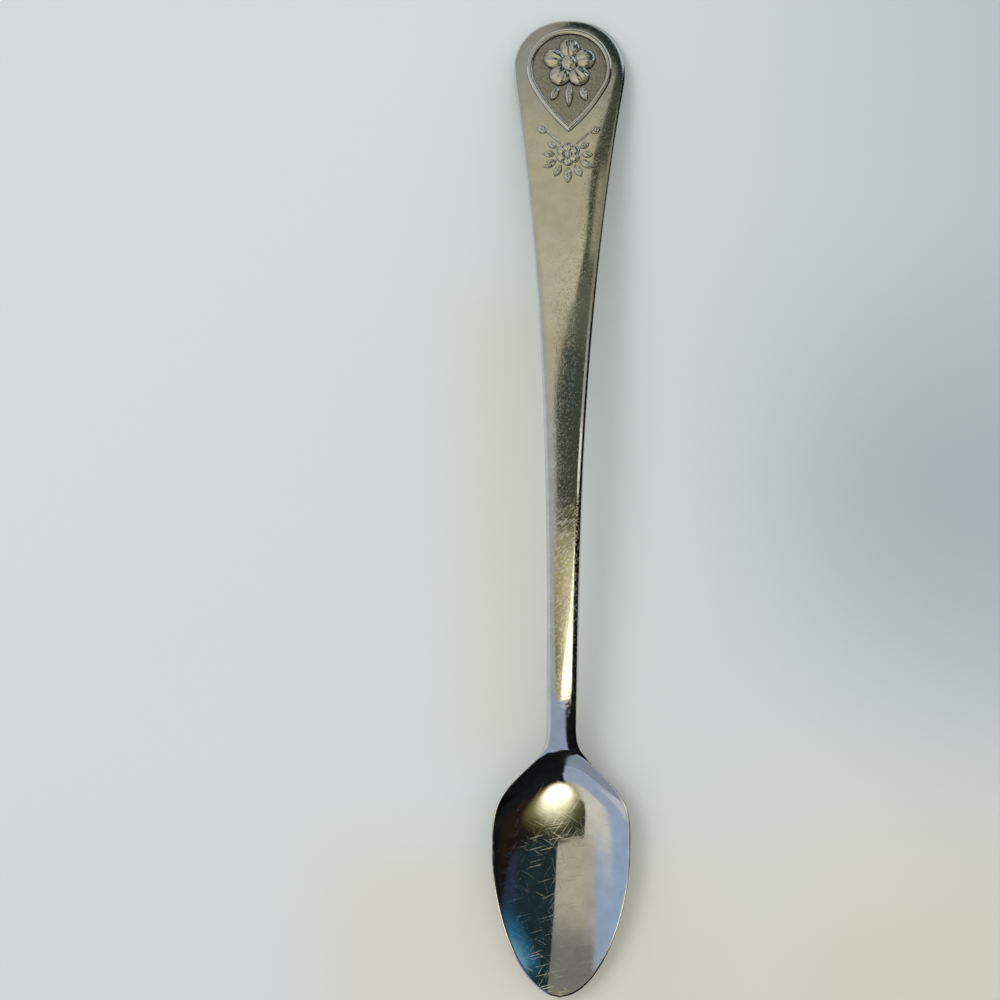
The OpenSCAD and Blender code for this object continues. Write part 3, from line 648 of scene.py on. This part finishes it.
def struck(form, y=0, turn=0, rounds=48, rings=24):
    """Adds a ball and reshapes it: form gives each point of the unit ball its place on the face."""
    bpy.ops.object.select_all(action="DESELECT")
    bpy.ops.mesh.primitive_uv_sphere_add(segments=rounds, ring_count=rings, radius=1)
    piece = bpy.context.object
    ball = np.zeros(len(piece.data.vertices) * 3)
    piece.data.vertices.foreach_get("co", ball)
    points = form(*ball.reshape(-1, 3).T)
    piece.data.vertices.foreach_set("co", on_handle(np.stack(points, axis=1), y, turn).ravel())
    low, high = max(0, points[2].min()), points[2].max()
    piece.data.attributes.new("crest", "FLOAT", "POINT").data.foreach_set(
        "value", np.clip((points[2] - low) / (high - low), 0, 1))
    piece.data.materials.append(ornament)
    return piece


def joined(name, pieces):
    """Joins struck forms to one piece with outward faces."""
    bpy.ops.object.select_all(action="DESELECT")
    for piece in pieces:
        piece.select_set(True)
    bpy.context.view_layer.objects.active = pieces[0]
    bpy.ops.object.join()
    piece = bpy.context.object
    piece.name = piece.data.name = name
    bpy.ops.object.mode_set(mode="EDIT")
    bpy.ops.mesh.select_all(action="SELECT")
    bpy.ops.mesh.normals_make_consistent(inside=False)
    bpy.ops.object.mode_set(mode="OBJECT")
    bpy.ops.object.shade_smooth()
    piece.select_set(False)
    return piece


def over_foot(up, height):
    """Height of a dome's top, with its lower half drawn down into the face as a foot."""
    return np.where(up > 0, height * up, FOOT * up)


def petal_form(ring_r, radius, height, groove):
    """A round petal with a groove down its middle and veins that fan out from its root."""
    def form(across, out, up):
        fan = np.arctan2(across, out + VEIN_ROOT)
        shape = over_foot(up, height)
        shape = shape - np.where(up > 0, groove * np.exp(-(across / GROOVE_W) ** 2) * up, 0)
        shape = shape + np.where(up > 0, groove * VEIN_SHARE * np.cos(fan * VEINS) * up, 0)
        return radius * across, ring_r + radius * out, shape
    return form


def seed_ring(radius, seed_r, height, count, y):
    """A ring of domed seeds; with no radius, the one seed in the middle."""
    def form(across, out, up):
        return seed_r * across, radius + seed_r * out, height + seed_r * 0.8 * up
    return [struck(form, y, 2 * pi * i / count, rounds=16, rings=10) for i in range(count)]


petals = [struck(petal_form(PETAL_RING_R, PETAL_R, PETAL_H, PETAL_GROOVE), BLOSSOM_LIFT, 2 * pi * i / 5)
          for i in range(5)]
boss = struck(lambda across, out, up: (BOSS_R * across, BOSS_R * out, over_foot(up, BOSS_H)), BLOSSOM_LIFT)
seeds = [seed for radius, count, drop in SEED_RINGS
         for seed in seed_ring(radius, SEED_R, BOSS_H - drop, count, BLOSSOM_LIFT)]
blossom_detail = joined("medallion_blossom_detail", petals + [boss] + seeds)
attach(blossom_detail, "root")
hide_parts("medallion_blossom")

# Leaves under the blossom: three pointed leaves, struck up as low domes from the medallion's ground.
# The die has cut a midrib and slanted side veins, 0.42 mm apart, into each.
LONG_LEAF_L, SIDE_LEAF_L, LEAF_W, LEAF_H = 4.0, 2.4, 1.2, 0.4
SIDE_LEAF_TURN, LEAF_GAP = radians(24), 0.1
MIDRIB_W, MIDRIB_SHARE, LEAF_VEIN_STEP, LEAF_VEIN_SLANT, LEAF_VEIN_SHARE = 0.16, 0.35, 0.42, 0.8, 0.18


def leaf_form(root_r, length, width, height):
    """A pointed leaf that lies outwards from its root."""
    def form(across, out, up):
        taper = np.sqrt(np.maximum(0, 1 - out ** 2))
        side = across * taper
        rib = np.exp(-(across / np.maximum(taper, 0.05) / MIDRIB_W) ** 2)
        slanted = out * length / 2 - np.abs(side) * width * LEAF_VEIN_SLANT
        veins = 0.5 + 0.5 * np.cos(2 * pi * slanted / LEAF_VEIN_STEP)
        carved = height * up * (1 - LEAF_VEIN_SHARE * (1 - veins) - MIDRIB_SHARE * rib)
        return width / 2 * side, root_r + length / 2 * (1 + out), np.where(up > 0, carved, FOOT * up)
    return form


def blossom_edge_r(turn):
    """Distance from the middle of the blossom to its edge, at a turn from straight down."""
    aside = PETAL_RING_R * sin(pi / 5 - turn)
    return PETAL_RING_R * cos(pi / 5 - turn) + sqrt(max(0, PETAL_R ** 2 - aside ** 2))


leaf_places = [(0, blossom_edge_r(0), LONG_LEAF_L)] + [
    (turn, blossom_edge_r(SIDE_LEAF_TURN), SIDE_LEAF_L) for turn in (-SIDE_LEAF_TURN, SIDE_LEAF_TURN)]
medallion_leaves = [struck(leaf_form(root_r + LEAF_GAP, length, LEAF_W, LEAF_H), BLOSSOM_LIFT, pi + turn)
                    for turn, root_r, length in leaf_places]
leaves_detail = joined("medallion_leaves_detail", medallion_leaves)
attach(leaves_detail, "root")
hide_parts("medallion_leaves")

# Small blossom of the spray: six petals round a seeded boss, struck up from the handle's face like
# the large blossom, but only about half as high.
FLORET_R, FLORET_H, FLORET_RING_R, FLORET_BOSS_R, FLORET_BOSS_H = 0.72, 0.35, 1.05, 0.6, 0.45
FLORET_GROOVE, FLORET_SEED_R, FLORET_SEED_DROP = 0.08, 0.14, 0.08
florets = [struck(petal_form(FLORET_RING_R, FLORET_R, FLORET_H, FLORET_GROOVE), SPRAY_Y, 2 * pi * i / 6,
                  rounds=32, rings=16) for i in range(6)]
floret_boss = struck(lambda across, out, up: (FLORET_BOSS_R * across, FLORET_BOSS_R * out,
                                              over_foot(up, FLORET_BOSS_H)), SPRAY_Y)
floret_seeds = [seed for radius, count in ((0, 1), (0.33, 6)) for seed in seed_ring(
    radius, FLORET_SEED_R, FLORET_BOSS_H - FLORET_SEED_DROP, count, SPRAY_Y)]
floret_detail = joined("spray_blossom_detail", florets + [floret_boss] + floret_seeds)
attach(floret_detail, "root")
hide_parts("spray_blossom")

# Leaves of the spray: nine, fanned out round the small blossom, the longest straight down, and
# struck and cut as the medallion's leaves are. Each pair has its turn from straight down in degrees,
# and its share of the full length and width.
SPRAY_LEAF_W, SPRAY_LEAF_H = 1.2, 0.3
SPRAY_LEAVES = [(0, 1, 1), (30, 0.8, 0.95), (60, 0.86, 0.95), (90, 0.66, 0.85), (120, 0.62, 0.75)]
spray_leaves = [struck(leaf_form(SPRAY_ROOT_R, SPRAY_LEAF_L * long, SPRAY_LEAF_W * wide, SPRAY_LEAF_H),
                       SPRAY_Y, pi + side * radians(turn))
                for turn, long, wide in SPRAY_LEAVES for side in ((1, -1) if turn else (1,))]
spray_leaves_detail = joined("spray_leaves_detail", spray_leaves)
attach(spray_leaves_detail, "root")
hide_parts("spray_leaves")

# Stems of the spray: two thin round lines, struck up from the handle's face, that leave the small
# blossom upwards and bend away from each other.
STEM_W, STEM_H, STEM_BEND_R = 0.36, 0.2, 6.0
STEM_TURN, STEM_SWEEP = radians(36), radians(24)


def stem_form(side):
    """A line that leaves the small blossom upwards and bends away from the middle."""
    def form(across, out, up):
        bend = STEM_SWEEP * (1 + out) / 2
        ring = STEM_BEND_R - across * STEM_W / 2
        x, y = STEM_BEND_R - ring * np.cos(bend), SPRAY_ROOT_R + ring * np.sin(bend)
        turned_x = x * cos(STEM_TURN) + y * sin(STEM_TURN)
        turned_y = y * cos(STEM_TURN) - x * sin(STEM_TURN)
        return side * turned_x, turned_y, over_foot(up, STEM_H)
    return form


stems_detail = joined("spray_stems_detail", [struck(stem_form(side), SPRAY_Y) for side in (-1, 1)])
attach(stems_detail, "root")
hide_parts("spray_stems")

# Buds: one pointed bud at the end of each stem, struck up as the leaves are and grooved where its
# own leaves part.
BUD_L, BUD_W, BUD_H = 1.7, 1.1, 0.38


def bud_form(side):
    """A leaf form that lies on from the end of a stem."""
    leaf = leaf_form(0.1, BUD_L, BUD_W, BUD_H)
    def form(across, out, up):
        x, y, height = leaf(across, out, up)
        x = x - STEM_BEND_R
        x, y = (x * cos(STEM_SWEEP) + y * sin(STEM_SWEEP) + STEM_BEND_R,
                y * cos(STEM_SWEEP) - x * sin(STEM_SWEEP) + SPRAY_ROOT_R)
        turned_x = x * cos(STEM_TURN) + y * sin(STEM_TURN)
        turned_y = y * cos(STEM_TURN) - x * sin(STEM_TURN)
        return side * turned_x, turned_y, height
    return form


buds_detail = joined("spray_buds_detail", [struck(bud_form(side), SPRAY_Y) for side in (-1, 1)])
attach(buds_detail, "root")
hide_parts("spray_buds")

# The solids under these pieces take the same two finishes
for name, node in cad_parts.items():
    node.data.materials.clear()
    node.data.materials.append(steel if name in ("bowl", "neck", "shank", "handle") else ornament)
